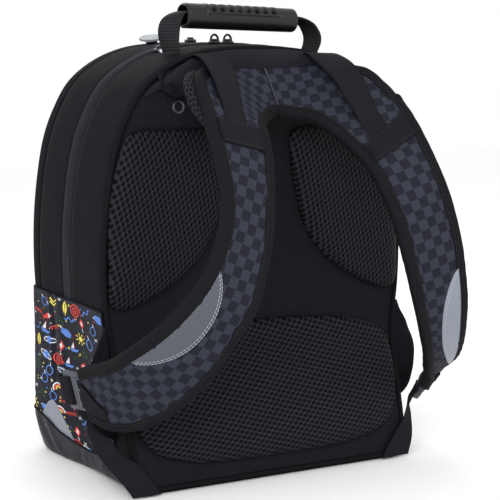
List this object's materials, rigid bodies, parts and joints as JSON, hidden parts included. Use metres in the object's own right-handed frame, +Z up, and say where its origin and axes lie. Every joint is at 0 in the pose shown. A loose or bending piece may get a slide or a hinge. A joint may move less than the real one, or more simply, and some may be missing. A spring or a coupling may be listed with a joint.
{
  "type": "school ransel",
  "caption": "Domed school backpack with padded shoulder straps, ribbed mesh back cushions, ladder-lock buckles, zip closures and a moulded carrying grip.",
  "frame": {"origin": "middle of the flat underside of the base, on the ground, under the middle of the bag", "axes": "+Z up, -Y towards the wearer's back with the harness, +X to the right when the harness is faced"},
  "size_m": [0.4209, 0.3373, 0.4585],
  "materials": {
    "nylon_black": "plain woven nylon",
    "webbing_black": "woven webbing and binding tape",
    "mesh_black": "spacer mesh",
    "checker_slate": "checked woven cloth",
    "boot_grey": "smooth coated cloth",
    "print_navy": "printed cloth",
    "reflective_grey": "reflective film",
    "plastic_grey": "moulded plastic",
    "metal_silver": "bright metal"
  },
  "bodies": {
    "root": {"main_gusset": "nylon_black", "main_zip": "webbing_black", "second_zip": "webbing_black", "zip_welt": "nylon_black", "second_gusset": "nylon_black", "front_shell": "nylon_black", "front_panel": "nylon_black", "back_panel": "nylon_black", "panel_piping": "webbing_black", "base_boot": "boot_grey", "lower_mesh_pad": "mesh_black", "top_roll": "nylon_black", "shoulder_strap_left": "checker_slate", "shoulder_strap_right": "checker_slate", "strap_outer_binding_left": "webbing_black", "strap_outer_binding_right": "webbing_black", "strap_inner_binding_left": "webbing_black", "strap_inner_binding_right": "webbing_black", "cross_band_left": "webbing_black", "cross_band_right": "webbing_black", "strap_reflector_left": "reflective_grey", "strap_reflector_right": "reflective_grey", "upper_mesh_pad_left": "mesh_black", "upper_mesh_pad_right": "mesh_black", "load_lifter_left": "webbing_black", "load_lifter_right": "webbing_black", "strap_end_tab_left": "webbing_black", "strap_end_tab_right": "webbing_black", "ladder_lock_left": "plastic_grey", "ladder_lock_right": "plastic_grey", "strap_end_loop_left": "webbing_black", "strap_end_loop_right": "webbing_black", "adjuster_loop_left": "webbing_black", "adjuster_loop_right": "webbing_black", "lower_webbing_left": "webbing_black", "lower_webbing_right": "webbing_black", "side_wing_left": "nylon_black", "side_wing_right": "nylon_black", "print_panel_left": "print_navy", "print_panel_right": "print_navy", "side_reflector_left": "reflective_grey", "side_reflector_right": "reflective_grey", "main_slider_left": "metal_silver", "main_slider_middle": "plastic_grey", "main_slider_right": "plastic_grey", "second_slider_left": "metal_silver", "second_slider_right": "plastic_grey", "main_pull_middle": "plastic_grey", "main_pull_right": "plastic_grey", "oval_pull": "plastic_grey", "handle_grip": "plastic_grey", "handle_webbing": "webbing_black", "metal_ring": "metal_silver"}
  },
  "joints": []
}
